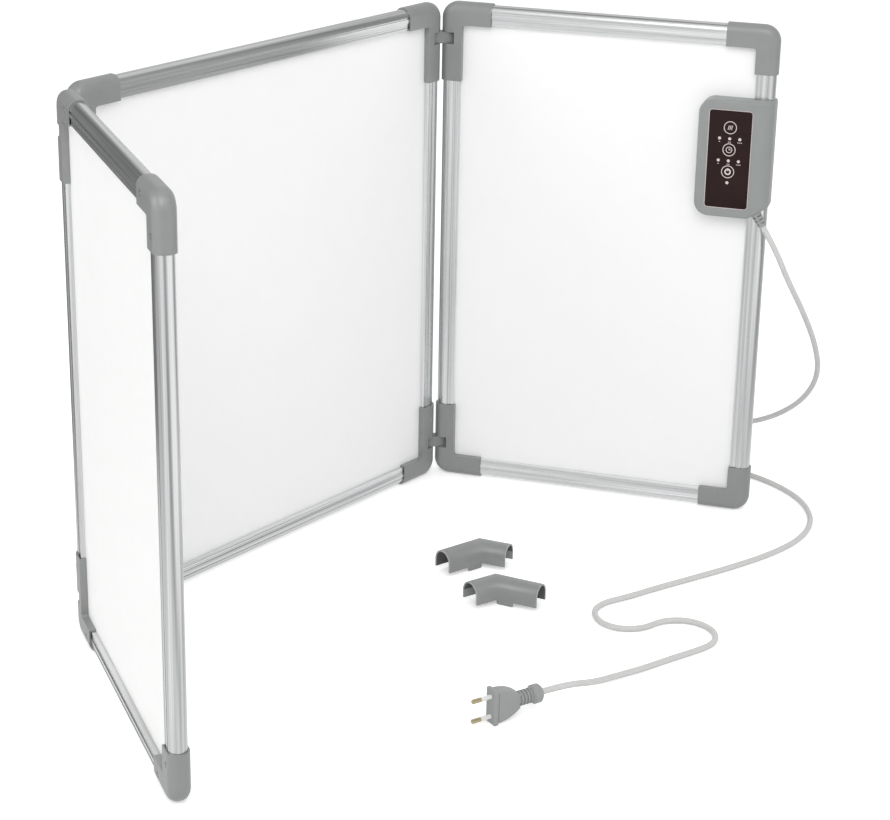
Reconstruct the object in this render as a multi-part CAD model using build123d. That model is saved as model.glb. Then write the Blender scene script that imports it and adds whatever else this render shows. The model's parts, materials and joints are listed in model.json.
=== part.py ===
from build123d import *
from math import atan2, cos, degrees, radians, sin, tan
import os

# Whole heater, in millimetres and degrees
panel_height = 500
centre_opening_width = 443
side_opening_width = 293
right_fold_angle = 67
left_fold_angle = 60

# Frame rail, an aluminium extrusion with a round outer edge
rail_face = 19
rail_depth = 16
rail_wall = 1.8
rail_slot_depth = 5.6
rail_lip_width = 6.6
rail_lip_step = 0.6
rail_groove_width = 1.4
rail_groove_depth = 0.8
reed_count = 2
reed_width = 0.6
reed_depth = 0.4

# Panel sheets, held in the rails' slots
sheet_insert = 5
front_sheet_thickness = 1.5
film_thickness = 0.6
back_sheet_thickness = 3.9
sheet_clearance = 0.15
film_margin = 12

# Corner connectors, moulded sleeves over the rails
connector_depth = 19
connector_overhang = 1.5
connector_inner_wall = 1.4
connector_round = 8.5
connector_corner_radius = 16
connector_inner_radius = 2.5
connector_end_break = 0.5
across_leg = 51
short_leg = 47
long_leg = 78
short_block = 22
long_block = 50
socket_clearance = 0.1
rail_end_gap = 0.3

# Hinge links, one block between two upright pins
pivot_inset = 7.6
pivot_pitch = 19.6
link_height = 11
link_thickness = 11
link_level = 35.5
link_slot_height = 11.6
link_slot_depth = 13.9
pin_radius = 1.5
pin_running_clearance = 0.05
pin_seat_clearance = 0.02
pin_top_seat = 6

# Screw holes in the back of each connector's legs
corner_hole_radius = 2.7
screw_end_distance = 12
screw_edge_distance = 10.5
screw_hole_clearance = 0.1

# Thermal cut-out, bedded in the back sheet
cutout_length = 20
cutout_width = 8
cutout_thickness = 3
cutout_lead_width = 1.2
cutout_lead_length = 9
cutout_below_top = 60

# Control box on the right panel's free post
box_width = 71.5
box_height = 116
box_below_top = 71.5
box_front = 19.5
box_back = 12
box_wall = 2.2
box_front_wall = 2.4
box_corner_radius = 14
box_edge_radius = 2.2
box_wrap_radius = 11
box_wrap_overhang = 0.6
box_chamfer_run = 19
box_chamfer_rise = 12
post_clearance = 0.15

# Touch overlay with its board and indicator lights
overlay_width = 43
overlay_height = 98
overlay_thickness = 1.2
overlay_radius = 3.5
overlay_proud = 0.2
overlay_centre_from_edge = 40
overlay_gap = 0.15
overlay_ledge = 3
key_pitch = 21.8
top_key_above_centre = 31.5
light_radius = 1.5
light_pitch = 9.8
light_row_below_key = 10.9
board_thickness = 1.6
board_margin = 1
relay_length = 19
relay_width = 15
relay_height = 9
relay_below_centre = 20
transformer_size = 24
transformer_height = 10
transformer_above_centre = 22

# Screws that close the control box
box_screw_radius = 1.5
box_screw_head_radius = 2.9
box_screw_head_height = 2
box_screw_from_edge = 63
box_screw_from_end = 16
box_boss_radius = 3.5

# Strain relief at the chamfered corner
relief_from_edge = 11
relief_depth_in_box = 13.3
relief_root_radius = 5.1
relief_tip_radius = 3.9
relief_length = 14
relief_neck_radius = 3.7
relief_neck_length = 3.4
relief_flange_radius = 4.3
relief_flange_length = 2.6
relief_slot_rows = 3
relief_slot_pitch = 3.8
relief_slot_width = 1.5
relief_slot_first = 3
relief_core_radius = 2.9
relief_bridge = 2

# Cord and two-pin plug
cord_radius = 2.8
cord_sides = 8
cord_lead_share = 10
cord_run_share = 0.45
plug_axis_height = 16
plug_flange_half = 16
plug_flange_length = 4
plug_body_length = 27.3
plug_grip_length = 14
plug_thickness = 13.7
plug_shoulder_half = 15
plug_grip_half = 13.6
plug_waist_half = 6.4
plug_neck_radius = 5.6
plug_neck_length = 13
plug_rib_radius = 6.6
plug_rib_width = 1.6
plug_rib_count = 4
plug_collar_radius = 8.3
plug_collar_length = 10
plug_edge = 2
plug_rim = 1.5
plug_flange_break = 0.5
plug_pin_spacing = 18.6
plug_pin_radius = 2
plug_pin_core_radius = 1.5
plug_pin_length = 19
plug_sleeve_length = 10
plug_pin_tip_break = 0.9

# Two loose angle clips that lock a fold at their own angle
clip_angle = 120
clip_long_arm = 46
clip_short_arm = 30
clip_height = 24
clip_wall = 1.6
clip_clearance = 0.2
clip_tab_drop = 4.5
clip_tab_long = 22
clip_tab_short = 6
clip_corner_radius = 1.8

# One overrun for every cut
over = 1

# Where the loose things lie, from the centre panel's middle on the floor
plug_face_place = (-148.6, -390)
plug_heading_angle = 161.6
clip_a_apex = (97, -184)
clip_a_heading_angle = 226.8
clip_b_apex = (44, -245)
clip_b_heading_angle = 223.9

# Cord route after the strain relief, from the centre panel's middle on the floor
cord_route = [
    (383, -334, 252),
    (408, -340, 214),
    (442, -338, 170),
    (480, -324, 123),
    (515, -289, 76),
    (541, -240, 36),
    (556, -188, 9),
    (552, -138, 2.9),
    (526, -99, 2.9),
    (482, -92, 2.9),
    (448, -122, 2.9),
    (440, -170, 2.9),
    (449, -220, 2.9),
    (453, -265, 2.9),
    (446, -308, 2.9),
    (427, -348, 2.9),
    (391, -380, 2.9),
    (345, -394, 2.9),
    (292, -390, 2.9),
    (238, -376, 2.9),
    (192, -359.5, 2.9),
    (152, -343.5, 2.9),
    (122, -333, 2.9),
    (98.3, -323.4, 2.9),
    (75.6, -330.8, 2.9),
    (63.1, -350.6, 2.9),
    (65.2, -373.8, 2.9),
    (81.3, -390.8, 2.9),
    (102.7, -394.9, 2.9),
    (117.1, -408.8, 2.9),
    (120.8, -428.6, 2.9),
    (112.4, -446.8, 2.9),
    (95, -456.8, 2.9),
    (70, -454.5, 2.9),
    (43, -451, 2.9),
    (12, -443, 2.9),
    (-18, -433.5, 4.6),
    (-46, -424.4, 10),
]

# Sizes that follow from the ones above
rail_line = rail_face + connector_overhang
connector_face = rail_line + connector_inner_wall
sheet_stack = front_sheet_thickness + film_thickness + back_sheet_thickness
sheet_front = -sheet_stack / 2
centre_width = centre_opening_width + 2 * rail_line
side_width = side_opening_width + 2 * rail_line


def box_between(low, high):
    """A box from its lowest corner to its highest."""
    size = [b - a for a, b in zip(low, high)]
    middle = [(a + b) / 2 for a, b in zip(low, high)]
    return Pos(*middle) * Box(*size)


def rod(start, end, radius):
    """A round rod between two points."""
    way = Vector(*end) - Vector(*start)
    face = Plane(origin=start, z_dir=way) * Circle(radius)
    return extrude(face, amount=way.length)


def one(shape):
    """The single solid of a shape, or a compound of its separate solids."""
    solids = shape.solids()
    return solids[0] if len(solids) == 1 else Compound(children=list(solids))


# Rail profile: x runs outwards from the inner lip and y through the depth


def half_round_outline(face, depth, inner=0):
    """A flat strip that ends in a half round as wide as its depth."""
    radius = depth / 2
    flat_end = face - radius
    flats = Polyline((flat_end, radius), (inner, radius), (inner, -radius), (flat_end, -radius))
    nose = ThreePointArc((flat_end, -radius), (face, 0), (flat_end, radius))
    return make_face(flats.edges() + nose.edges())


def rail_profile():
    """The extrusion: sheet slot, hollow chamber, stepped lips, reeds and a shadow groove."""
    slot_width = sheet_stack + 2 * sheet_clearance
    chamber_start = rail_slot_depth + rail_wall
    profile = half_round_outline(rail_face, rail_depth)
    chamber = half_round_outline(rail_face - rail_wall, rail_depth - 2 * rail_wall, chamber_start)
    profile -= chamber
    profile -= Pos(rail_slot_depth / 2, 0) * Rectangle(rail_slot_depth, slot_width)
    groove_start = rail_face - rail_depth / 2 - rail_groove_width / 2
    reed_pitch = rail_lip_width / (reed_count + 1)
    for side in (1, -1):
        surface = side * rail_depth / 2
        lip = Rectangle(rail_lip_width, 2 * rail_lip_step)
        profile -= Pos(rail_lip_width / 2, surface) * lip
        groove = Rectangle(rail_groove_width, 2 * rail_groove_depth)
        profile -= Pos(groove_start + rail_groove_width / 2, surface) * groove
        for reed in range(reed_count):
            cut = Rectangle(reed_width, 2 * (rail_lip_step + reed_depth))
            profile -= Pos((reed + 1) * reed_pitch, surface) * cut
    return profile


def rail(start, outwards, along, length):
    """One rail, from a start point on its inner lip line."""
    plane = Plane(origin=start, x_dir=outwards, z_dir=along)
    return extrude(plane * rail_profile(), amount=length)


# Corner connector: modelled as a top right corner, with its outer corner at the origin


def outer_corner_edges(body):
    """The long outer edges of a corner body, front and back, that carry the large round."""
    picked = []
    for edge in body.edges():
        middle = edge.center()
        on_face = abs(abs(middle.Y) - connector_depth / 2) < connector_end_break / 10
        beyond_inner = max(middle.X, middle.Z) > -connector_corner_radius / 2
        if on_face and beyond_inner:
            picked.append(edge)
    return picked


def connector_shell(upright_leg):
    """The L-shaped outside of a connector, with its round outer edge."""
    points = [
        (0, 0),
        (0, -upright_leg),
        (-connector_face, -upright_leg),
        (-connector_face, -connector_face),
        (-across_leg, -connector_face),
        (-across_leg, 0),
    ]
    outline = make_face(Polyline(*points, close=True))
    outer = outline.vertices().sort_by_distance((0, 0, 0))[0]
    outline = fillet(outer, connector_corner_radius).face()
    inner = outline.vertices().sort_by_distance((-connector_face, -connector_face, 0))[0]
    outline = fillet(inner, connector_inner_radius).face()
    body = extrude(Plane.XZ * outline, amount=connector_depth / 2, both=True)
    return fillet(outer_corner_edges(body), connector_round)


def socket(start, outwards, along, length):
    """The space that a rail's end fills inside a connector."""
    face = rail_face + socket_clearance
    depth = rail_depth + 2 * socket_clearance
    outline = half_round_outline(face, depth, -socket_clearance)
    plane = Plane(origin=start, x_dir=outwards, z_dir=along)
    return extrude(plane * outline, amount=length)


def screw_places(upright_leg):
    """The two screw holes of a connector, each near the end of its leg."""
    return [
        (-(across_leg - screw_end_distance), -screw_edge_distance),
        (-screw_edge_distance, -(upright_leg - screw_end_distance)),
    ]


def connector(hinged):
    """One corner connector, with link slot and pin bore where it is hinged."""
    upright_leg = long_leg if hinged else short_leg
    upright_block = long_block if hinged else short_block
    body = connector_shell(upright_leg)
    across = (-short_block, 0, -rail_line)
    body -= socket(across, (0, 0, 1), (-1, 0, 0), across_leg)
    upright = (-rail_line, 0, -upright_block)
    body -= socket(upright, (1, 0, 0), (0, 0, -1), upright_leg)
    pocket_edge = -(rail_line - sheet_insert - sheet_clearance)
    pocket_half = sheet_stack / 2 + sheet_clearance
    reach = -(across_leg + long_leg)
    body -= box_between((reach, -pocket_half, reach), (pocket_edge, pocket_half, pocket_edge))
    for x, z in screw_places(upright_leg):
        body -= rod((x, 0, z), (x, connector_depth, z), corner_hole_radius)
    if hinged:
        low = -(link_level + link_slot_height / 2)
        high = -(link_level - link_slot_height / 2)
        half = connector_depth / 2 + over
        body -= box_between((-link_slot_depth, -half, low), (over, half, high))
        bore = pin_radius + pin_seat_clearance
        bottom = (-pivot_inset, 0, -upright_block - over)
        top = (-pivot_inset, 0, high + pin_top_seat)
        body -= rod(bottom, top, bore)
    return one(body)


def hinge_pin():
    """The steel pin of one hinged corner, from the socket floor up through the link slot."""
    high = -(link_level - link_slot_height / 2)
    return rod((-pivot_inset, 0, -long_block), (-pivot_inset, 0, high + pin_top_seat), pin_radius)


# One framed panel, seen from the front, with its middle on the floor at the origin


corner_signs = {
    "top_left": (-1, 1),
    "top_right": (1, 1),
    "bottom_left": (-1, -1),
    "bottom_right": (1, -1),
}


def at_corner(shape, corner, width):
    """Turn a top right corner piece into another corner of a panel."""
    side, level = corner_signs[corner]
    if side < 0:
        shape = mirror(shape, about=Plane.YZ)
    if level < 0:
        shape = mirror(shape, about=Plane.XY)
    return Pos(side * width / 2, 0, panel_height if level > 0 else 0) * shape


def panel_rails(width, hinged_sides):
    """The four rails of a panel, cut to end inside the connectors."""
    inner = width / 2 - rail_line
    across = width - 2 * (short_block + rail_end_gap)
    start = -across / 2
    rails = {
        "rail_top": rail((start, 0, panel_height - rail_line), (0, 0, 1), (1, 0, 0), across),
        "rail_bottom": rail((start, 0, rail_line), (0, 0, -1), (1, 0, 0), across),
    }
    for name, side in (("rail_left", -1), ("rail_right", 1)):
        block = long_block if side in hinged_sides else short_block
        foot = block + rail_end_gap
        length = panel_height - 2 * foot
        rails[name] = rail((side * inner, 0, foot), (side, 0, 0), (0, 0, 1), length)
    return {name: one(body) for name, body in rails.items()}


def sheet(width, front, thickness, inset=0):
    """A flat sheet in the rails' slots, or smaller all round by the inset."""
    half = width / 2 - rail_line + sheet_insert - inset
    low = rail_line - sheet_insert + inset
    return box_between((-half, front, low), (half, front + thickness, panel_height - low))


def panel_sheets(width, cutout_x):
    """Front sheet, heating film and the insulating back sheet with its cut-out's pocket."""
    film_front = sheet_front + front_sheet_thickness
    back_front = film_front + film_thickness
    back = sheet(width, back_front, back_sheet_thickness)
    cutout, pocket = thermal_cutout(cutout_x, back_front)
    return {
        "front_sheet": one(sheet(width, sheet_front, front_sheet_thickness)),
        "heating_film": one(sheet(width, film_front, film_thickness, film_margin)),
        "back_sheet": one(back - pocket),
        "thermal_cutout": cutout,
    }


def thermal_cutout(x, front):
    """A flat bimetal cut-out with two leads, and the pocket that it lies in."""
    level = panel_height - cutout_below_top
    half_length = cutout_length / 2
    half_width = cutout_width / 2
    body = box_between(
        (x - half_length, front, level - half_width),
        (x + half_length, front + cutout_thickness, level + half_width),
    )
    lead = cutout_length + 2 * cutout_lead_length
    middle = front + cutout_thickness / 2
    body += Pos(x, middle, level) * Box(lead, cutout_lead_width, cutout_lead_width)
    gap = sheet_clearance
    reach = half_length + cutout_lead_length + gap
    pocket = box_between(
        (x - reach, front - over, level - half_width - gap),
        (x + reach, front + cutout_thickness + gap, level + half_width + gap),
    )
    return one(body), pocket


def panel(width, hinged_sides, cutout_x):
    """Every piece of one framed panel, by its own short name."""
    pieces = panel_rails(width, hinged_sides)
    pieces.update(panel_sheets(width, cutout_x))
    pins = []
    for corner, (side, level) in corner_signs.items():
        hinged = side in hinged_sides
        pieces["corner_" + corner] = at_corner(connector(hinged), corner, width)
        if hinged:
            pins.append(at_corner(hinge_pin(), corner, width))
    pieces["hinge_pins"] = Compound(children=[one(pin) for pin in pins])
    return pieces


# Hinge links between the panels


def link(level):
    """A block with round ends that turns on one pin at each end."""
    outline = Pos(pivot_pitch / 2, 0) * SlotCenterToCenter(pivot_pitch, link_thickness)
    body = extrude(Pos(0, 0, level - link_height / 2) * outline, amount=link_height)
    for x in (0, pivot_pitch):
        bore = pin_radius + pin_running_clearance
        body -= rod((x, 0, 0), (x, 0, panel_height), bore)
    return one(body)


# Control box, in the right panel's own frame


edge_x = side_width / 2
box_left = edge_x - box_width
box_right = edge_x + box_wrap_overhang
box_top = panel_height - box_below_top
box_bottom = box_top - box_height
chamfer_angle = atan2(box_chamfer_rise, box_chamfer_run)
post_inner = edge_x - rail_line
overlay_x = edge_x - overlay_centre_from_edge
overlay_z = (box_top + box_bottom) / 2
relief_x = edge_x - relief_from_edge
relief_z = box_bottom + (box_chamfer_run - relief_from_edge) * tan(chamfer_angle)
relief_way = Vector(sin(chamfer_angle), 0, -cos(chamfer_angle))


def box_outline(inset=0):
    """The box seen from the front: round inner corners and a chamfered cord corner."""
    left = box_left + inset
    right = box_right - inset
    top = box_top - inset
    bottom = box_bottom + inset
    run_start = edge_x - box_chamfer_run - inset * tan(chamfer_angle / 2)
    rise_end = box_bottom + (right - (edge_x - box_chamfer_run)) * tan(chamfer_angle)
    rise_end += inset / cos(chamfer_angle)
    outline = make_face(
        Polyline(
            (left, top), (right, top), (right, rise_end), (run_start, bottom), (left, bottom), close=True
        )
    )
    round_inner = box_corner_radius - inset
    picked = outline.vertices().sort_by(Axis.X)[:2]
    return fillet(picked, round_inner).face()


def box_slab(front, back, inset=0):
    """The box outline as a slab between two depths."""
    plane = Plane(origin=(0, front, 0), x_dir=(1, 0, 0), z_dir=(0, -1, 0))
    return extrude(plane * box_outline(inset), amount=front - back)


def post_space():
    """The free post's room inside the box, right through from top to bottom."""
    face = rail_face + post_clearance
    depth = rail_depth + 2 * post_clearance
    outline = half_round_outline(face, depth, -over / 2)
    plane = Plane(origin=(post_inner, 0, 0), x_dir=(1, 0, 0), z_dir=(0, 0, 1))
    return extrude(plane * outline, amount=panel_height)


def sheet_space(front, back):
    """The room between two depths, inwards of the post, where the sheets run past."""
    return box_between((0, front, 0), (post_inner, back, panel_height))


def box_screw_places():
    """The four screws of the box: two through the sheets, two into the post."""
    inner = edge_x - box_screw_from_edge
    outer = edge_x - screw_edge_distance
    low = box_bottom + box_screw_from_end
    high = box_top - box_screw_from_end
    return [(inner, low), (inner, high), (outer, low + box_screw_from_end), (outer, high)]


def box_half(depth, wrap):
    """One half of the box: its outline cut by a plan that wraps round the post's outside."""
    slab = box_slab(depth, 0) if depth < 0 else box_slab(0, depth)
    plan = Polyline((box_left, 0), (box_right, 0), (box_right, depth), (box_left, depth), close=True)
    plan = make_face(plan)
    outer = plan.vertices().sort_by_distance((box_right, depth, 0))[0]
    body = slab & extrude(fillet(outer, wrap).face(), amount=panel_height)
    seen = [edge for edge in body.edges() if abs(edge.center().Y - depth) < over / 10]
    rim = [edge for edge in seen if edge.center().X < edge_x - wrap]
    return fillet(rim, box_edge_radius)


def control_housing():
    """The front shell: it stands on the front sheet and wraps half round the post."""
    body = box_half(-box_front, box_wrap_radius)
    rear = sheet_front - sheet_clearance
    body -= sheet_space(rear, over)
    body -= post_space()
    room = box_slab(-(box_front - box_front_wall), rear + over, box_wall)
    post_guard = box_between(
        (post_inner - box_wall, -(rail_depth / 2 + box_wall), 0), (box_right + over, over, panel_height)
    )
    wrap_guard = box_between(
        (edge_x - box_wrap_radius / 2, -box_front, 0), (box_right + over, over, panel_height)
    )
    bosses = [
        rod((x, -(box_front - box_wall), z), (x, rear, z), box_boss_radius)
        for x, z in box_screw_places()[:2]
    ]
    body -= room - post_guard - wrap_guard - bosses
    recess = rounded_plate(overlay_width + overlay_gap, overlay_height + overlay_gap, overlay_radius)
    depth = overlay_thickness - overlay_proud
    body -= Pos(0, -box_front, 0) * extrude(recess, amount=depth, both=True)
    ledges = 2 * overlay_ledge
    window = rounded_plate(overlay_width - ledges, overlay_height - ledges, overlay_radius)
    body -= Pos(0, -box_front, 0) * extrude(window, amount=box_front_wall + over, both=True)
    pilot = box_screw_radius + pin_seat_clearance
    for x, z in box_screw_places()[:2]:
        body -= rod((x, -(box_front - box_front_wall), z), (x, over, z), pilot)
    hole = relief_neck_radius + socket_clearance
    root = relief_place(-(relief_neck_length + relief_flange_length))
    body -= rod(root, relief_place(over), hole)
    flange = relief_flange_radius + socket_clearance
    body -= rod(root, relief_place(-relief_neck_length), flange)
    return one(body)


def rounded_plate(width, height, radius):
    """A rounded rectangle on the overlay's centre, facing the front."""
    plane = Plane(origin=(overlay_x, 0, overlay_z), x_dir=(1, 0, 0), z_dir=(0, -1, 0))
    return plane * RectangleRounded(width, height, radius)


def rear_cover():
    """The back shell: it closes the box behind the back sheet and round the post."""
    body = box_half(box_back, box_wrap_radius - box_edge_radius)
    rear = -sheet_front + sheet_clearance
    body -= sheet_space(-over, rear)
    body -= post_space()
    room = box_slab(rear - over, box_back - box_wall, box_wall)
    post_guard = box_between((post_inner - box_wall, -over, 0), (box_right + over, box_back, panel_height))
    bosses = [rod((x, rear, z), (x, box_back, z), box_boss_radius) for x, z in box_screw_places()[:2]]
    body -= room - post_guard - bosses
    for x, z in box_screw_places():
        body -= rod((x, 0, z), (x, box_back + over, z), box_screw_radius + screw_hole_clearance)
        seat = box_back - box_screw_head_height
        body -= rod((x, seat, z), (x, box_back + over, z), box_screw_head_radius + screw_hole_clearance)
    return one(body)


def box_screws():
    """Four pan-head screws from the back: two reach the front shell, two bite the post."""
    screws = []
    seat = box_back - box_screw_head_height
    for index, (x, z) in enumerate(box_screw_places()):
        tip = -(box_front - 2 * box_front_wall) if index < 2 else rail_depth / 4
        head = rod((x, seat, z), (x, box_back, z), box_screw_head_radius)
        screws.append(one(head + rod((x, tip, z), (x, seat, z), box_screw_radius)))
    return Compound(children=screws)


def light_places():
    """The seven indicator lights: three under each of the two upper keys, one under the last."""
    places = []
    for key in range(2):
        row = overlay_z + top_key_above_centre - key * key_pitch - light_row_below_key
        places += [(overlay_x + column * light_pitch, row) for column in (-1, 0, 1)]
    last = overlay_z + top_key_above_centre - 2 * key_pitch - light_row_below_key
    return places + [(overlay_x, last)]


def touch_overlay():
    """The dark glossy plate, with a small hole for each light."""
    front = -(box_front + overlay_proud)
    outline = Pos(0, front, 0) * rounded_plate(overlay_width, overlay_height, overlay_radius)
    plate = extrude(outline, amount=-overlay_thickness)
    for x, z in light_places():
        plate -= rod((x, front - over, z), (x, 0, z), light_radius + socket_clearance)
    return one(plate)


def circuit_board():
    """The board behind the overlay, with its relay and its transformer."""
    width = overlay_width - 2 * (overlay_ledge + board_margin)
    height = overlay_height - 2 * (overlay_ledge + board_margin)
    front = -(box_front + overlay_proud) + overlay_thickness
    half_x = width / 2
    half_z = height / 2
    board_back = front + board_thickness
    board = box_between(
        (overlay_x - half_x, front, overlay_z - half_z), (overlay_x + half_x, board_back, overlay_z + half_z)
    )
    relay_z = overlay_z - relay_below_centre
    board += box_between(
        (overlay_x - relay_width / 2, board_back, relay_z - relay_length / 2),
        (overlay_x + relay_width / 2, board_back + relay_height, relay_z + relay_length / 2),
    )
    transformer_z = overlay_z + transformer_above_centre
    half = transformer_size / 2
    board += box_between(
        (overlay_x - half, board_back, transformer_z - half),
        (overlay_x + half, board_back + transformer_height, transformer_z + half),
    )
    return one(board)


def indicator_lights():
    """Seven clear light pipes, flush with the overlay and standing on the board."""
    front = -(box_front + overlay_proud)
    pipes = [rod((x, front, z), (x, front + overlay_thickness, z), light_radius) for x, z in light_places()]
    return Compound(children=[one(pipe) for pipe in pipes])


# Strain relief: a tapered sleeve, square to the chamfer


def relief_place(distance):
    """A point on the strain relief's axis, counted outwards from the chamfer."""
    root = Vector(relief_x, -relief_depth_in_box, relief_z)
    return tuple(root + relief_way * distance)


def strain_relief():
    """Inner flange, neck and a slotted taper."""
    inner = -(relief_neck_length + relief_flange_length)
    body = rod(relief_place(inner), relief_place(-relief_neck_length), relief_flange_radius)
    body += rod(relief_place(-relief_neck_length), relief_place(0), relief_neck_radius)
    root = Plane(origin=relief_place(0), z_dir=relief_way, x_dir=(0, 1, 0))
    tip = Plane(origin=relief_place(relief_length), z_dir=relief_way, x_dir=(0, 1, 0))
    body += loft([root * Circle(relief_root_radius), tip * Circle(relief_tip_radius)])
    for row in range(relief_slot_rows):
        distance = relief_slot_first + row * relief_slot_pitch
        level = Plane(origin=relief_place(distance), z_dir=relief_way, x_dir=(0, 1, 0))
        ring = Circle(relief_root_radius + over) - Circle(relief_core_radius)
        ring -= Rectangle(relief_bridge, 2 * relief_root_radius + 2 * over)
        ring -= Rectangle(2 * relief_root_radius + 2 * over, relief_bridge)
        body -= extrude(level * ring, amount=relief_slot_width / 2, both=True)
    return one(body)


# Plug, with its axis along +X towards the pins and its face at the origin


def plug_body():
    """Flange, waisted grip, ribbed neck and collar, in one moulding."""
    back = -plug_body_length
    half = plug_thickness / 2
    flange = box_between((-plug_flange_length, -half, -plug_flange_half), (0, half, plug_flange_half))
    flange = chamfer(flange.edges(), plug_flange_break)
    root = -plug_flange_length + plug_flange_break
    waist = ((-plug_grip_length + back) / 2, (plug_grip_half + plug_waist_half) / 2 + plug_edge / 2)
    side = [(root, plug_shoulder_half), (-plug_grip_length, plug_grip_half), waist, (back, plug_waist_half)]
    upper = Spline(*side)
    lower = Spline(*[(x, -z) for x, z in side])
    rear = Line((back, plug_waist_half), (back, -plug_waist_half))
    front = Line((root, -plug_shoulder_half), (root, plug_shoulder_half))
    outline = make_face(upper.edges() + rear.edges() + lower.edges() + front.edges())
    grip_half = half - plug_flange_break
    grip = extrude(Plane.XZ * outline, amount=grip_half, both=True)
    rims = [e for e in grip.edges() if abs(abs(e.center().Y) - grip_half) < plug_flange_break / 10]
    grip = chamfer(rims, plug_rim)
    body = flange + grip
    neck_end = back - plug_neck_length
    body += rod((back + plug_edge, 0, 0), (neck_end, 0, 0), plug_neck_radius)
    pitch = plug_neck_length / plug_rib_count
    for rib in range(plug_rib_count):
        x = back - pitch * rib - pitch / 2
        body += rod((x + plug_rib_width / 2, 0, 0), (x - plug_rib_width / 2, 0, 0), plug_rib_radius)
    collar = rod((neck_end, 0, 0), (neck_end - plug_collar_length, 0, 0), plug_collar_radius)
    body += chamfer(collar.edges().filter_by(GeomType.CIRCLE), plug_edge)
    return body


def plug_pins():
    """Two round pins: a thin core in the sleeve and a full-size rounded tip."""
    pins = []
    for side in (1, -1):
        z = side * plug_pin_spacing / 2
        tip = rod((plug_sleeve_length, 0, z), (plug_pin_length, 0, z), plug_pin_radius)
        far = tip.edges().filter_by(GeomType.CIRCLE).sort_by(Axis.X)[-1]
        tip = chamfer(far, plug_pin_tip_break)
        pins.append(one(tip + rod((0, 0, z), (plug_sleeve_length, 0, z), plug_pin_core_radius)))
    return Compound(children=pins)


def pin_sleeves():
    """The insulating sleeve on the root of each pin."""
    sleeves = []
    for side in (1, -1):
        z = side * plug_pin_spacing / 2
        sleeve = rod((0, 0, z), (plug_sleeve_length, 0, z), plug_pin_radius)
        sleeves.append(one(sleeve - rod((0, 0, z), (plug_sleeve_length, 0, z), plug_pin_core_radius)))
    return Compound(children=sleeves)


# Cord: straight runs and tangent arcs through the hand-chosen route


def cord_tube(points):
    """The tube along a route, with the largest arcs that its runs allow."""
    corners = [Vector(*point) for point in points]
    radii = []
    for before, here, after in zip(corners, corners[1:], corners[2:]):
        turn = (here - before).get_angle(after - here)
        shorter = min((here - before).length, (after - here).length)
        radii.append(cord_run_share * shorter / tan(radians(turn) / 2))
    path = FilletPolyline(*points, radius=radii)
    start = Plane(origin=points[0], z_dir=corners[1] - corners[0])
    outline = RegularPolygon(cord_radius, cord_sides)
    tube = sweep(start * outline, path=path)
    length = path.length
    section = outline.area
    runs = [(b - a).length for a, b in zip(corners, corners[1:])]
    print("cord length", round(length, 1), "volume ratio", round(tube.volume / (section * length), 5))
    print("cord radii", [round(radius, 1) for radius in radii])
    print("cord runs", [round(run, 1) for run in runs])
    return one(tube)


# Loose angle clips, standing on their skirts with the bend's ridge over the origin


def clip_section(inner):
    """The channel's cross-section, upright: y is up and x is across."""
    half = connector_depth / 2 + clip_clearance + (0 if inner else clip_wall)
    top = clip_height - (clip_wall if inner else 0)
    foot = -over if inner else 0
    spring = top - half
    sides = Polyline((half, spring), (half, foot), (-half, foot), (-half, spring))
    crown = ThreePointArc((-half, spring), (0, top), (half, spring))
    return make_face(sides.edges() + crown.edges())


def clip_arm(length, heading, inner):
    """One arm of a clip, from the bend outwards, cut square at its end."""
    way = Vector(cos(radians(heading)), sin(radians(heading)), 0)
    side = Vector(-way.Y, way.X, 0)
    reach = clip_height
    start = way * (-reach)
    plane = Plane(origin=tuple(start), x_dir=tuple(side), z_dir=tuple(way))
    extra = over if inner else 0
    arm = extrude(plane * clip_section(inner), amount=length + reach + extra)
    keep = Pos(*(way * length)) * Rot(0, 0, heading) * Box(4 * length, 4 * length, 4 * length)
    return arm & keep


def clip_side_block(length, heading, near, far):
    """A cutter under one arm's skirts, from one distance along it to another."""
    half = clip_height
    block = box_between((near, -half, -over), (far, half, clip_tab_drop))
    return Rot(0, 0, heading) * block


def angle_clip(long_heading, short_heading):
    """A bent channel: both arms mitred on the bisector, with deep middle tabs."""
    outer = None
    inner = None
    middle = (long_heading + short_heading) / 2
    for length, heading in ((clip_long_arm, long_heading), (clip_short_arm, short_heading)):
        size = 4 * clip_long_arm
        turn = 90 if heading > middle else -90
        half_space = Rot(0, 0, middle + turn) * Pos(size / 2, 0, 0) * Box(size, size, size)
        arm = clip_arm(length, heading, False) & half_space
        space = clip_arm(length, heading, True) & half_space
        outer = arm if outer is None else outer + arm
        inner = space if inner is None else inner + space
    body = outer - inner
    body -= clip_side_block(clip_long_arm, long_heading, clip_tab_long, clip_long_arm + over)
    body -= clip_side_block(clip_short_arm, short_heading, clip_tab_short, clip_short_arm + over)
    return one(body)


# Placing: pivots and panels in the heater's own frame


centre_pivot_x = centre_width / 2 - pivot_inset
panel_pivot_x = side_width / 2 - pivot_inset


def hinge_frame(side, fold):
    """Both pivots of one hinge line and the side panel's place, seen from above."""
    half = radians(fold / 2)
    first = Vector(side * centre_pivot_x, 0, 0)
    second = first + Vector(side * cos(half), -sin(half), 0) * pivot_pitch
    whole = radians(fold)
    middle = second + Vector(side * cos(whole), -sin(whole), 0) * panel_pivot_x
    place = Pos(*middle) * Rot(0, 0, -side * fold)
    link_place = Pos(*first) * Rot(0, 0, -side * fold / 2 + (0 if side > 0 else 180))
    return first, second, place, link_place


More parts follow.
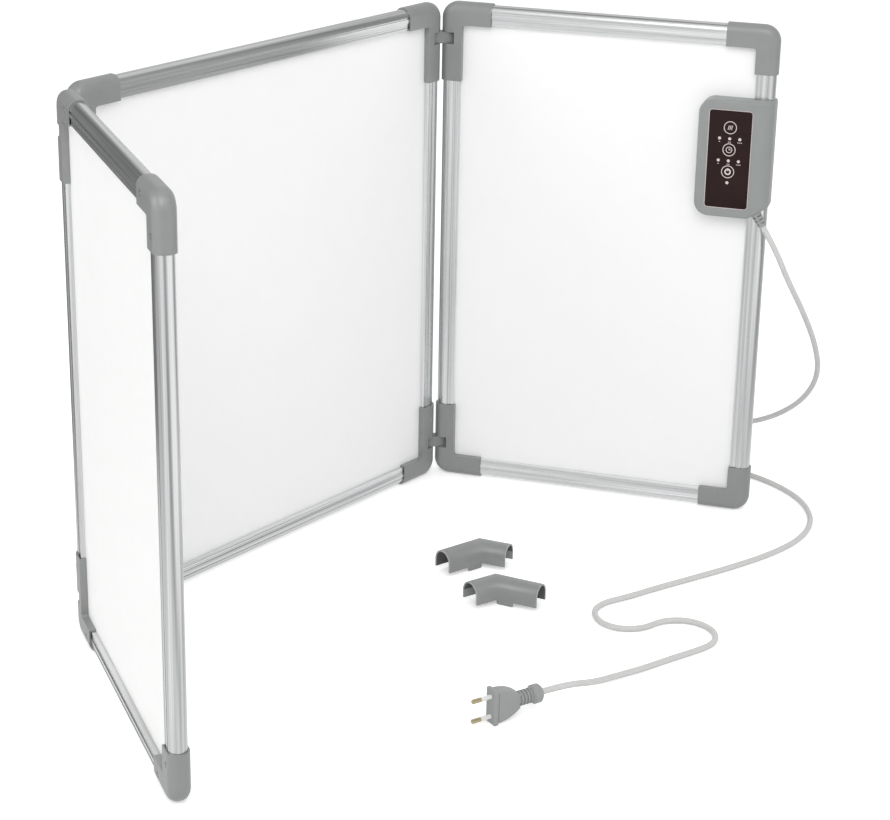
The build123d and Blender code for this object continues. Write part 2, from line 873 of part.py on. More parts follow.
def build():
    """Every node by name, with the centre panel's middle on the floor at the origin."""
    nodes = {}
    right_first, right_second, right_place, right_link_place = hinge_frame(1, right_fold_angle)
    left_first, left_second, left_place, left_link_place = hinge_frame(-1, left_fold_angle)
    places = {
        "centre": (Pos(0, 0, 0), centre_width, (-1, 1), centre_width / 4),
        "left": (left_place, side_width, (1,), -side_width / 4),
        "right": (right_place, side_width, (-1,), -side_width / 8),
    }
    for name, (place, width, hinged_sides, cutout_x) in places.items():
        for piece, shape in panel(width, hinged_sides, cutout_x).items():
            if name == "right" and piece in ("front_sheet", "heating_film", "back_sheet"):
                for x, z in box_screw_places()[:2]:
                    radius = box_screw_radius + screw_hole_clearance
                    shape = shape - rod((x, -box_front, z), (x, box_back, z), radius)
                shape = one(shape)
            if name == "right" and piece == "rail_right":
                for x, z in box_screw_places()[2:]:
                    radius = box_screw_radius + pin_seat_clearance
                    shape = shape - rod((x, rail_depth / 4, z), (x, rail_depth, z), radius)
                shape = one(shape)
            nodes[name + "_" + piece] = place * shape
    for level_name, level in (("top", panel_height - link_level), ("bottom", link_level)):
        nodes["right_link_" + level_name] = right_link_place * link(level)
        nodes["left_link_" + level_name] = left_link_place * link(level)
    for piece, shape in (
        ("control_housing", control_housing()),
        ("control_rear_cover", rear_cover()),
        ("touch_overlay", touch_overlay()),
        ("circuit_board", circuit_board()),
        ("indicator_lights", indicator_lights()),
        ("housing_screws", box_screws()),
        ("strain_relief", strain_relief()),
    ):
        nodes[piece] = right_place * shape
    plug_place = Pos(*plug_face_place, plug_axis_height) * Rot(0, 0, plug_heading_angle)
    nodes["plug_body"] = plug_place * plug_body()
    nodes["plug_pins"] = plug_place * plug_pins()
    nodes["pin_sleeves"] = plug_place * pin_sleeves()
    tip = (right_place * Pos(*relief_place(relief_length))).position
    lead = (right_place * Pos(*relief_place(relief_length + cord_lead_share * cord_radius))).position
    plug_length = plug_body_length + plug_neck_length + plug_collar_length
    rear = (plug_place * Pos(-plug_length, 0, 0)).position
    approach = (plug_place * Pos(-plug_length - cord_lead_share * cord_radius, 0, 0)).position
    route = [tuple(tip), tuple(lead)] + cord_route + [tuple(approach), tuple(rear)]
    print("cord ends", [tuple(round(v, 2) for v in p) for p in (tip, lead, approach, rear)])
    nodes["power_cord"] = cord_tube(route)
    half_open = clip_angle / 2
    clip_a = angle_clip(clip_a_heading_angle - half_open, clip_a_heading_angle + half_open)
    clip_b = angle_clip(clip_b_heading_angle + half_open, clip_b_heading_angle - half_open)
    nodes["angle_clip_a"] = Pos(*clip_a_apex, 0) * clip_a
    nodes["angle_clip_b"] = Pos(*clip_b_apex, 0) * clip_b
    pivots = {
        "right_link_pivot": right_first,
        "right_panel_pivot": right_second,
        "left_link_pivot": left_first,
        "left_panel_pivot": left_second,
        "relief_tip": Vector(*tip),
        "plug_face": Vector(*plug_face_place, plug_axis_height),
    }
    return nodes, pivots


nodes, pivots = build()
cord_side = ("power_cord", "plug_body", "plug_pins", "pin_sleeves")
solid_parts = [shape for name, shape in nodes.items() if name not in cord_side]
bounds = Compound(children=[one(shape) for shape in solid_parts]).bounding_box()
middle = bounds.center()
shift = Pos(-middle.X, -middle.Y, 0)

os.makedirs("parts", exist_ok=True)
for name, shape in nodes.items():
    export_step(shift * shape, "parts/" + name + ".step")
print("shift", round(-middle.X, 3), round(-middle.Y, 3), "size", bounds.size)
for name, place in pivots.items():
    print(name, [round(v, 3) for v in (place.X - middle.X, place.Y - middle.Y, place.Z)])
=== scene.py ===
"""The looks of a foldable infrared heater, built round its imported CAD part.

Three framed heating panels stand on a pale floor, hinged at two upright lines. The right panel
carries the touch control box with its lead and plug, and two loose angle clips lie in front.
"""

from __future__ import annotations

import json
import logging
import math
from collections.abc import Callable
from dataclasses import dataclass, field
from enum import Enum

import bmesh
import bpy
from mathutils import Matrix, Vector

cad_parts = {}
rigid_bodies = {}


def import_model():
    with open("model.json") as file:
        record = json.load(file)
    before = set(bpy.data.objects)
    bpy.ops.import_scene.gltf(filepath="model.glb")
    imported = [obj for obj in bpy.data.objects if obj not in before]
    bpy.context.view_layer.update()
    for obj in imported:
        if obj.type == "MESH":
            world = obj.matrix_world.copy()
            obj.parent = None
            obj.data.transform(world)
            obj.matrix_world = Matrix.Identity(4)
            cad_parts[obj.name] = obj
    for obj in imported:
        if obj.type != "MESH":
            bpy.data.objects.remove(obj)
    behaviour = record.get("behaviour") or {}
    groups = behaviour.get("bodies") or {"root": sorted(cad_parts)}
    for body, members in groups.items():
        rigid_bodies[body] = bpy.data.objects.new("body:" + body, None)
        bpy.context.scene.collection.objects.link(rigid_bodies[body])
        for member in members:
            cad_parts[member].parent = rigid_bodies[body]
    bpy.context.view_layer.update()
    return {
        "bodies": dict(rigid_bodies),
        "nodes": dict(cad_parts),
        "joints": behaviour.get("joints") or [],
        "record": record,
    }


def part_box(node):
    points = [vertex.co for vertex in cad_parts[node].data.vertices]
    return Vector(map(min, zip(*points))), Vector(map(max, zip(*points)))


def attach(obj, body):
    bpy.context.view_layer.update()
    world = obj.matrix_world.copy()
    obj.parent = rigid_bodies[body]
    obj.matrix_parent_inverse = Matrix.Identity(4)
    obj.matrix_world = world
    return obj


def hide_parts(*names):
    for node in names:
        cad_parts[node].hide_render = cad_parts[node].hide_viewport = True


log = logging.getLogger("heater")

MM = 0.001
# How squarely a face has to look along an axis to count as facing that way.
FACING = 0.9
# The Mix node gives its colour sockets the same names as its number sockets, so they go by place.
MIX_FIRST, MIX_SECOND, MIX_RESULT = 6, 7, 2


class Corner(Enum):
    """The four corners of a panel, seen from the front."""

    TOP_LEFT = "top_left"
    TOP_RIGHT = "top_right"
    BOTTOM_LEFT = "bottom_left"
    BOTTOM_RIGHT = "bottom_right"


class Side(Enum):
    """The three panels of the heater."""

    LEFT = "left"
    CENTRE = "centre"
    RIGHT = "right"


class Run(Enum):
    """Which way a frame rail runs in its panel."""

    UPRIGHT = "upright"
    LEVEL = "level"


class Symbol(Enum):
    """The signs printed on the three touch keys."""

    HEAT = "heat"
    CLOCK = "clock"
    POWER = "power"


class Picked(Enum):
    """What an operator in edit mode acts on."""

    FACES = "FACE"
    EDGES = "EDGE"


@dataclass(frozen=True)
class Finish:
    """A surface finish: one colour, its gloss, and a fine pattern in the object's own space."""

    name: str
    colour: tuple[float, float, float]
    roughness: float
    metallic: float = 0.0
    coat: float = 0.0
    mottle: float = 0.04
    mottle_scale: float = 60.0
    grain: float = 0.05
    grain_scale: float = 1400.0
    stretch: tuple[float, float, float] = (1.0, 1.0, 1.0)
    turn_deg: float = 0.0
    gloss_spread: float = 0.06
    specular: float = 0.5
    cloud_detail: float = 4.0
    cloud_range: tuple[float, float] = (0.3, 0.7)
    speckle_detail: float = 2.0
    grain_depth: float = 0.2 * MM
    least_roughness: float = 0.02

    def build(self) -> bpy.types.Material:
        """Makes the node material.

        Returns:
            The material, with colour mottling, gloss variation and a fine bump.
        """
        material = bpy.data.materials.new(self.name)
        material.use_nodes = True
        nodes = material.node_tree.nodes
        links = material.node_tree.links
        shader = nodes["Principled BSDF"]
        shader.inputs["Metallic"].default_value = self.metallic
        shader.inputs["Coat Weight"].default_value = self.coat
        shader.inputs["Specular IOR Level"].default_value = self.specular
        place = nodes.new("ShaderNodeTexCoord")
        mapping = nodes.new("ShaderNodeMapping")
        mapping.vector_type = "TEXTURE"
        mapping.inputs["Rotation"].default_value = (0.0, 0.0, math.radians(self.turn_deg))
        mapping.inputs["Scale"].default_value = [1.0 / share for share in self.stretch]
        links.new(place.outputs["Object"], mapping.inputs["Vector"])

        cloud = nodes.new("ShaderNodeTexNoise")
        cloud.inputs["Scale"].default_value = self.mottle_scale
        cloud.inputs["Detail"].default_value = self.cloud_detail
        links.new(mapping.outputs["Vector"], cloud.inputs["Vector"])
        tint = nodes.new("ShaderNodeValToRGB")
        darker = [value * (1.0 - self.mottle) for value in self.colour]
        lighter = [min(1.0, value * (1.0 + self.mottle / 2)) for value in self.colour]
        for stop, position, colour in zip(tint.color_ramp.elements, self.cloud_range, (darker, lighter)):
            stop.position = position
            stop.color = (*colour, 1.0)
        links.new(cloud.outputs["Fac"], tint.inputs["Fac"])
        links.new(tint.outputs["Color"], shader.inputs["Base Color"])

        gloss = nodes.new("ShaderNodeMapRange")
        gloss.inputs["To Min"].default_value = max(self.least_roughness, self.roughness - self.gloss_spread)
        gloss.inputs["To Max"].default_value = min(1.0, self.roughness + self.gloss_spread)
        links.new(cloud.outputs["Fac"], gloss.inputs["Value"])
        links.new(gloss.outputs["Result"], shader.inputs["Roughness"])

        speckle = nodes.new("ShaderNodeTexNoise")
        speckle.inputs["Scale"].default_value = self.grain_scale
        speckle.inputs["Detail"].default_value = self.speckle_detail
        links.new(mapping.outputs["Vector"], speckle.inputs["Vector"])
        bump = nodes.new("ShaderNodeBump")
        bump.inputs["Strength"].default_value = self.grain
        bump.inputs["Distance"].default_value = self.grain_depth
        links.new(speckle.outputs["Fac"], bump.inputs["Height"])
        links.new(bump.outputs["Normal"], shader.inputs["Normal"])
        return material


CORNER_GREY = Finish("corner_grained_grey", (0.26, 0.27, 0.265), 0.34, specular=0.7)
LINK_GREY = Finish("link_grained_grey", (0.24, 0.25, 0.245), 0.38)
CLIP_GREY = Finish("clip_satin_grey", (0.25, 0.26, 0.255), 0.34, specular=0.7)
# Painted highlight: a lighter grey than the clip body, put on the clips' rounded edges.
CLIP_RIM_PAINTED_HIGHLIGHT = Finish("clip_rim_painted_highlight", (0.55, 0.56, 0.555), 0.28)
# Painted shade: dark grey inside the clips' channels, where the channel lies in shadow; only its grain and
# roughness are the surface's own.
CLIP_INSIDE_PAINTED_SHADE = Finish("clip_inside_painted_shade", (0.10, 0.10, 0.10), 0.7, mottle=0.3, mottle_scale=900.0, grain=0.2)
SHEET_WHITE = Finish(
    "sheet_satin_white", (0.95, 0.95, 0.95), 0.42, mottle=0.01, grain=0.03, grain_scale=600.0
)
BACK_WHITE = Finish(
    "back_textured_white", (0.93, 0.93, 0.925), 0.6, mottle=0.008, grain=0.15, grain_scale=500.0
)
FILM_BLACK = Finish("film_printed_carbon", (0.03, 0.03, 0.035), 0.55)
CUTOUT_DARK = Finish("cutout_dark_paint", (0.10, 0.10, 0.11), 0.4)
BOX_GREY = Finish("box_grained_grey", (0.285, 0.30, 0.295), 0.40)
RELIEF_GREY = Finish("relief_moulded_grey", (0.33, 0.34, 0.335), 0.5)
OVERLAY_BROWN = Finish(
    "overlay_dark_gloss",
    (0.022, 0.008, 0.008),
    0.22,
    coat=0.12,
    specular=0.12,
    mottle=0.3,
    mottle_scale=25.0,
    grain=0.0,
)
BORDER_PALE = Finish("border_pale_ink", (0.60, 0.55, 0.55), 0.5, mottle=0.02, grain=0.0)
PRINT_PALE = Finish("print_pale_ink", (0.72, 0.62, 0.62), 0.5, mottle=0.02, grain=0.0)
LIGHT_CLEAR = Finish("light_pipe_clear", (0.68, 0.58, 0.58), 0.25, coat=0.5, mottle=0.1, mottle_scale=900.0)
BOARD_GREEN = Finish("board_green_lacquer", (0.03, 0.16, 0.06), 0.35)
SCREW_ZINC = Finish("screw_zinc", (0.55, 0.55, 0.56), 0.34, metallic=1.0, stretch=(1.0, 1.0, 0.2))
PIN_GROUND = Finish("pin_ground_steel", (0.60, 0.60, 0.61), 0.28, metallic=1.0, stretch=(1.0, 1.0, 6.0))
CORD_PALE = Finish("cord_smooth_pale", (0.62, 0.62, 0.61), 0.40, mottle=0.03, grain=0.03)
PLUG_GREY = Finish("plug_moulded_grey", (0.32, 0.33, 0.325), 0.42)
SLEEVE_WHITE = Finish("sleeve_gloss_white", (0.80, 0.80, 0.78), 0.3)
PIN_BRASS = Finish("pin_plated_brass", (0.56, 0.48, 0.30), 0.3, metallic=1.0)


def rail_finish(side: Side, run: Run, turn_deg: float) -> Finish:
    """The satin anodised aluminium of a rail, with its fine draw lines along the rail.

    Args:
        side: the panel that the rail belongs to.
        run: whether the rail stands upright or lies level.
        turn_deg: the panel's turn about the upright axis.

    Returns:
        The finish, stretched along the rail.
    """
    along = 0.01
    stretch = (1.0, 1.0, along) if run is Run.UPRIGHT else (along, 1.0, 1.0)
    return Finish(
        f"rail_anodised_{side.value}_{run.value}",
        (0.80, 0.81, 0.815),
        0.24,
        metallic=1.0,
        mottle=0.30,
        mottle_scale=330.0,
        grain=0.06,
        grain_scale=2200.0,
        stretch=stretch,
        turn_deg=turn_deg,
    )


def deselect_all() -> None:
    """Leaves nothing selected, so that an operator acts on new pieces only."""
    bpy.ops.object.select_all(action="DESELECT")


def dress(node: bpy.types.Object, material: bpy.types.Material) -> None:
    """Gives a CAD node or a piece one material.

    Args:
        node: the object to dress.
        material: its finish.
    """
    node.data.materials.clear()
    node.data.materials.append(material)
    for polygon in getattr(node.data, "polygons", []):
        polygon.material_index = 0


def settle(piece: bpy.types.Object, matrix: Matrix, name: str) -> bpy.types.Object:
    """Moves a piece's mesh to its place and leaves the object at the origin.

    Args:
        piece: a mesh object modelled in a panel's own frame.
        matrix: the panel's place in the heater's frame.
        name: the piece's name.

    Returns:
        The same object, with its place in its mesh.
    """
    piece.data.transform(matrix @ piece.matrix_basis)
    piece.matrix_basis = Matrix.Identity(4)
    piece.name = name
    piece.data.name = name
    return piece


def join(pieces: list[bpy.types.Object]) -> bpy.types.Object:
    """Joins several meshes into one piece.

    Args:
        pieces: the mesh objects, at least one.

    Returns:
        The joined object.
    """
    deselect_all()
    for piece in pieces:
        piece.select_set(True)
    bpy.context.view_layer.objects.active = pieces[0]
    if len(pieces) > 1:
        bpy.ops.object.join()
    deselect_all()
    return pieces[0]


def edit_picked(piece: bpy.types.Object, kind: Picked, chosen: Callable[..., bool]) -> None:
    """Opens a piece in edit mode with only the chosen faces or edges selected.

    Args:
        piece: the active mesh object, in object mode.
        kind: whether faces or edges are chosen.
        chosen: says of one face or edge whether the operator acts on it.
    """
    bpy.ops.object.mode_set(mode="EDIT")
    bpy.ops.mesh.select_mode(type=kind.value)
    bpy.ops.mesh.select_all(action="DESELECT")
    bpy.ops.object.mode_set(mode="OBJECT")
    for item in piece.data.polygons if kind is Picked.FACES else piece.data.edges:
        item.select = chosen(item)
    bpy.ops.object.mode_set(mode="EDIT")


@dataclass
class Rim:
    """The small rounded edge of a moulded piece, which catches the light; its faces also get a lighter grey,
    a painted highlight.
    """

    width: float = 0.5 * MM
    segments: int = 3
    angle_deg: float = 35.0
    index: int = 1
    merge_gap: float = 0.005 * MM
    flat_angle_deg: float = 0.5

    def softened(self, node: bpy.types.Object, finishes: list[bpy.types.Material]) -> bpy.types.Object:
        """A copy of a moulded piece, with its sharp edges rounded into a rim.

        Args:
            node: the CAD node.
            finishes: the finishes of its outside, its rim (a lighter grey, a painted highlight) and its
                inside (a dark grey, painted shade).

        Returns:
            The copy, at the origin, with its place in its mesh.
        """
        deselect_all()
        name = f"{node.name}_softened"
        piece = bpy.data.objects.new(name, node.data.copy())
        piece.data.name = name
        bpy.context.scene.collection.objects.link(piece)
        dress(piece, finishes[0])
        for finish in finishes[1:]:
            piece.data.materials.append(finish)
        piece.select_set(True)
        bpy.context.view_layer.objects.active = piece
        bpy.ops.object.mode_set(mode="EDIT")
        bpy.ops.mesh.select_mode(type="VERT")
        bpy.ops.mesh.select_all(action="SELECT")
        bpy.ops.mesh.remove_doubles(threshold=self.merge_gap)
        bpy.ops.mesh.dissolve_limited(angle_limit=math.radians(self.flat_angle_deg))
        bpy.ops.mesh.select_mode(type="EDGE")
        bpy.ops.mesh.select_all(action="DESELECT")
        self.select_outer_edges(piece)
        bpy.ops.mesh.bevel(
            offset=self.width,
            segments=self.segments,
            affect="EDGES",
            clamp_overlap=True,
            # The new rim faces take material index, the lighter grey that paints a highlight on the edge.
            material=self.index,
        )
        bpy.ops.object.mode_set(mode="OBJECT")
        bpy.ops.object.shade_smooth_by_angle(angle=math.radians(self.angle_deg))
        deselect_all()
        return piece

    def select_outer_edges(self, piece: bpy.types.Object) -> None:
        """Selects the sharp outer edges that end at no inner one, so that a bend stays whole.

        Args:
            piece: the copy, in edit mode with nothing selected.
        """
        mesh = bmesh.from_edit_mesh(piece.data)
        limit = math.radians(self.angle_deg)
        inner = set()
        for edge in mesh.edges:
            if edge.calc_face_angle_signed(0.0) < -limit:
                inner.update(edge.verts)
        for edge in mesh.edges:
            outer = edge.calc_face_angle_signed(0.0) > limit
            edge.select_set(outer and inner.isdisjoint(edge.verts))
        bmesh.update_edit_mesh(piece.data)


@dataclass
class Heater:
    """What all classes share: the frame, the panels' places and the hinges."""

    frame: dict
    right_fold_deg: float = 67.0
    left_fold_deg: float = 60.0
    pivot_to_middle: float = 159.4 * MM
    turns: dict[Side, float] = field(init=False)
    places: dict[Side, Matrix] = field(init=False)

    def __post_init__(self) -> None:
        """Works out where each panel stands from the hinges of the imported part."""
        pivots = {joint["name"]: Vector(joint["pos_m"]) for joint in self.frame["joints"]}
        low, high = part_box("centre_rail_top")
        middle = (low + high) / 2
        middle.z = 0.0
        self.turns = {Side.CENTRE: 0.0, Side.RIGHT: -self.right_fold_deg, Side.LEFT: self.left_fold_deg}
        self.places = {Side.CENTRE: Matrix.Translation(middle)}
        for side, sign in ((Side.RIGHT, 1.0), (Side.LEFT, -1.0)):
            turn = math.radians(self.turns[side])
            pivot = pivots[f"{side.value}_panel_hinge"]
            pivot.z = 0.0
            away = Vector((math.cos(turn), math.sin(turn), 0.0)) * sign
            centre = pivot + away * self.pivot_to_middle
            self.places[side] = Matrix.Translation(centre) @ Matrix.Rotation(turn, 4, "Z")

    def node(self, name: str) -> bpy.types.Object:
        """The CAD node of that name."""
        return self.frame["nodes"][name]

    def from_middle(self, x: float, y: float, z: float) -> Vector:
        """A point in millimetres from the centre panel's middle, in the heater's frame."""
        return self.places[Side.CENTRE] @ (Vector((x, y, z)) * MM)


@dataclass(frozen=True)
class Lamp:
    """A large soft lamp: its place, its width and power, and whether mirrors see it."""

    name: str
    place: tuple[float, float, float]
    size: float
    power: float
    mirrored: bool


@dataclass
class Studio:
    """Floor, light and camera."""

    heater: Heater
    camera_place_mm: tuple[float, float, float] = (-1530.27, -1447.56, 960.64)
    camera_yaw: float = 0.8928
    camera_pitch: float = 0.3719
    camera_roll: float = 0.0194
    focal_px: float = 2341.38
    image_width_px: float = 890.0
    sensor_mm: float = 36.0
    clip_range: tuple[float, float] = (0.05, 100.0)
    floor_level: float = 0.93
    floor_roughness: float = 0.9
    floor_specular: float = 0.1
    floor_lift: float = 0.38
    floor_size: float = 40.0
    near_level: float = 0.8
    near_reach: tuple[float, float] = (0.4, 0.7)
    world_strength: float = 0.68
    reflected_heights: tuple[tuple[float, float], ...] = (
        (0.0, 1.0), (0.2, 0.95), (0.35, 0.78), (0.66, 0.66), (0.74, 1.0), (1.0, 1.0),
    )
    reflected_bands: tuple[tuple[float, float], ...] = (
        (0.0, 0.85), (50.0, 0.80), (66.0, 0.22), (105.0, 0.22), (125.0, 0.5),
        (165.0, 0.65), (182.0, 1.0), (206.0, 1.0), (216.0, 0.45), (226.0, 0.45),
        (240.0, 1.0), (285.0, 0.95), (305.0, 0.42), (335.0, 0.45), (350.0, 0.85),
    )
    compass_start: float = 0.5
    lamp_aim: tuple[float, float, float] = (0.0, 0.0, 0.25)
    lamp_set: tuple[Lamp, ...] = (
        Lamp("lamp_key", (-1.6, -1.4, 2.4), 2.0, 32.0, True),
        Lamp("lamp_fill", (2.2, -1.8, 1.6), 1.6, 11.0, False),
        Lamp("lamp_back", (-2.6, 1.4, 1.5), 1.8, 22.0, True),
    )

    def build(self) -> None:
        """Builds the whole studio."""
        self.camera()
        self.floor()
        self.world()
        self.lamps()
        bpy.context.scene.view_settings.view_transform = "Standard"

    def camera(self) -> None:
        """Places the camera at the photograph's viewing angle."""
        data = bpy.data.cameras.new("camera")
        data.sensor_width = self.sensor_mm
        data.lens = self.focal_px / self.image_width_px * self.sensor_mm
        data.clip_start, data.clip_end = self.clip_range
        camera = bpy.data.objects.new("camera", data)
        bpy.context.scene.collection.objects.link(camera)
        yaw, pitch, roll = self.camera_yaw, self.camera_pitch, self.camera_roll
        ahead = Vector((math.sin(yaw) * math.cos(pitch), math.cos(yaw) * math.cos(pitch), -math.sin(pitch)))
        right = Vector((math.cos(yaw), -math.sin(yaw), 0.0))
        up = right.cross(ahead)
        rolled_right = right * math.cos(roll) + up * math.sin(roll)
        rolled_up = up * math.cos(roll) - right * math.sin(roll)
        turn = Matrix((rolled_right, rolled_up, -ahead)).transposed()
        place = self.heater.from_middle(*self.camera_place_mm)
        camera.matrix_world = Matrix.Translation(place) @ turn.to_4x4()
        bpy.context.scene.camera = camera

    def floor(self) -> None:
        """A wide pale floor that keeps soft shadows.

        Mirrors see it pale close by, and further out with the studio's light and dark sides.
        """
        deselect_all()
        bpy.ops.mesh.primitive_plane_add(size=self.floor_size)
        floor = bpy.context.active_object
        floor.name = "floor"
        dress(floor, self.floor_material())

    def floor_material(self) -> bpy.types.Material:
        """The floor's plain pale surface, with its own look for what mirrors it.

        Returns:
            The node material.
        """
        material = bpy.data.materials.new("floor_pale")
        material.use_nodes = True
        nodes = material.node_tree.nodes
        links = material.node_tree.links
        shader = nodes["Principled BSDF"]
        shader.inputs["Base Color"].default_value = (*[self.floor_level] * 3, 1.0)
        shader.inputs["Roughness"].default_value = self.floor_roughness
        shader.inputs["Specular IOR Level"].default_value = self.floor_specular
        path = nodes.new("ShaderNodeLightPath")
        glow = nodes.new("ShaderNodeEmission")
        lift = nodes.new("ShaderNodeMath")
        lift.operation = "MULTIPLY"
        lift.inputs[1].default_value = self.floor_lift
        links.new(path.outputs["Is Camera Ray"], lift.inputs[0])
        links.new(lift.outputs["Value"], glow.inputs["Strength"])
        plain = nodes.new("ShaderNodeAddShader")
        links.new(shader.outputs["BSDF"], plain.inputs[0])
        links.new(glow.outputs["Emission"], plain.inputs[1])

        mirrored = nodes.new("ShaderNodeEmission")
        place = nodes.new("ShaderNodeTexCoord")
        reach = nodes.new("ShaderNodeVectorMath")
        reach.operation = "LENGTH"
        links.new(place.outputs["Object"], reach.inputs[0])
        share = nodes.new("ShaderNodeMapRange")
        share.inputs["From Min"].default_value = self.near_reach[0]
        share.inputs["From Max"].default_value = self.near_reach[1]
        links.new(reach.outputs["Value"], share.inputs["Value"])
        tint = nodes.new("ShaderNodeMix")
        tint.data_type = "RGBA"
        tint.inputs[MIX_FIRST].default_value = (*[self.near_level] * 3, 1.0)
        links.new(share.outputs["Result"], tint.inputs[0])
        links.new(self.bands(nodes, links, place.outputs["Object"]), tint.inputs[MIX_SECOND])
        links.new(tint.outputs[MIX_RESULT], mirrored.inputs["Color"])

        both = nodes.new("ShaderNodeMixShader")
        links.new(path.outputs["Is Glossy Ray"], both.inputs["Fac"])
        links.new(plain.outputs["Shader"], both.inputs[1])
        links.new(mirrored.outputs["Emission"], both.inputs[2])
        links.new(both.outputs["Shader"], nodes["Material Output"].inputs["Surface"])
        return material

    def bands(
        self, nodes: bpy.types.Nodes, links: bpy.types.NodeLinks, direction: bpy.types.NodeSocket
    ) -> bpy.types.NodeSocket:
        """Light and dark sides of the studio, by compass direction, for what mirrors them.

        Args:
            nodes: the node tree's nodes.
            links: the node tree's links.
            direction: a vector that points away from the heater's middle.

        Returns:
            The colour output of the bands.
        """
        compass = nodes.new("ShaderNodeTexGradient")
        compass.gradient_type = "RADIAL"
        links.new(direction, compass.inputs["Vector"])
        ramp = nodes.new("ShaderNodeValToRGB")
        stops = sorted(
            ((angle / 360.0 + self.compass_start) % 1.0, value) for angle, value in self.reflected_bands
        )
        self.set_stops(ramp.color_ramp, tuple(stops))
        links.new(compass.outputs["Color"], ramp.inputs["Fac"])
        return ramp.outputs["Color"]

    @staticmethod
    def set_stops(ramp: bpy.types.ColorRamp, stops: tuple[tuple[float, float], ...]) -> None:
        """Gives a colour ramp its grey stops.

        Args:
            ramp: a new ramp, with its first two stops.
            stops: each stop's place, in rising order, and its level of grey.
        """
        for _ in range(len(stops) - len(ramp.elements)):
            ramp.elements.new(1.0)
        for element, (place, value) in zip(ramp.elements, stops):
            element.position = place
            element.color = (value, value, value, 1.0)

    def world(self) -> None:
        """An even white surrounding, with the studio's light and dark sides for what mirrors them."""
        world = bpy.data.worlds.new("studio")
        bpy.context.scene.world = world
        world.use_nodes = True
        nodes = world.node_tree.nodes
        links = world.node_tree.links
        background = nodes["Background"]
        path = nodes.new("ShaderNodeLightPath")
        place = nodes.new("ShaderNodeTexCoord")
        tint = nodes.new("ShaderNodeMix")
        tint.data_type = "RGBA"
        tint.inputs[MIX_FIRST].default_value = (1.0, 1.0, 1.0, 1.0)
        links.new(path.outputs["Is Glossy Ray"], tint.inputs[0])
        height = nodes.new("ShaderNodeSeparateXYZ")
        links.new(place.outputs["Generated"], height.inputs["Vector"])
        dim = nodes.new("ShaderNodeValToRGB")
        self.set_stops(dim.color_ramp, self.reflected_heights)
        links.new(height.outputs["Z"], dim.inputs["Fac"])
        dimmed = nodes.new("ShaderNodeVectorMath")
        dimmed.operation = "SCALE"
        links.new(self.bands(nodes, links, place.outputs["Generated"]), dimmed.inputs[0])
        links.new(dim.outputs["Color"], dimmed.inputs["Scale"])
        links.new(dimmed.outputs["Vector"], tint.inputs[MIX_SECOND])
        links.new(tint.outputs[MIX_RESULT], background.inputs["Color"])
        shown = nodes.new("ShaderNodeMath")
        shown.operation = "MAXIMUM"
        links.new(path.outputs["Is Camera Ray"], shown.inputs[0])
        links.new(path.outputs["Is Glossy Ray"], shown.inputs[1])
        seen = nodes.new("ShaderNodeMapRange")
        seen.inputs["To Min"].default_value = self.world_strength
        seen.inputs["To Max"].default_value = 1.0
        links.new(shown.outputs["Value"], seen.inputs["Value"])
        links.new(seen.outputs["Result"], background.inputs["Strength"])

    def lamps(self) -> None:
        """Three large soft lamps: from the upper left, from the right, and from behind on the left.

        Mirrors don't see the one on the right, which would draw a white line along the top rails.
        """
        for lamp in self.lamp_set:
            data = bpy.data.lights.new(lamp.name, "AREA")
            data.shape = "DISK"
            data.size = lamp.size
            data.energy = lamp.power
            light = bpy.data.objects.new(lamp.name, data)
            bpy.context.scene.collection.objects.link(light)
            light.location = lamp.place
            aim = Vector(self.lamp_aim) - light.location
            light.rotation_euler = aim.to_track_quat("-Z", "Y").to_euler()
            light.visible_glossy = lamp.mirrored


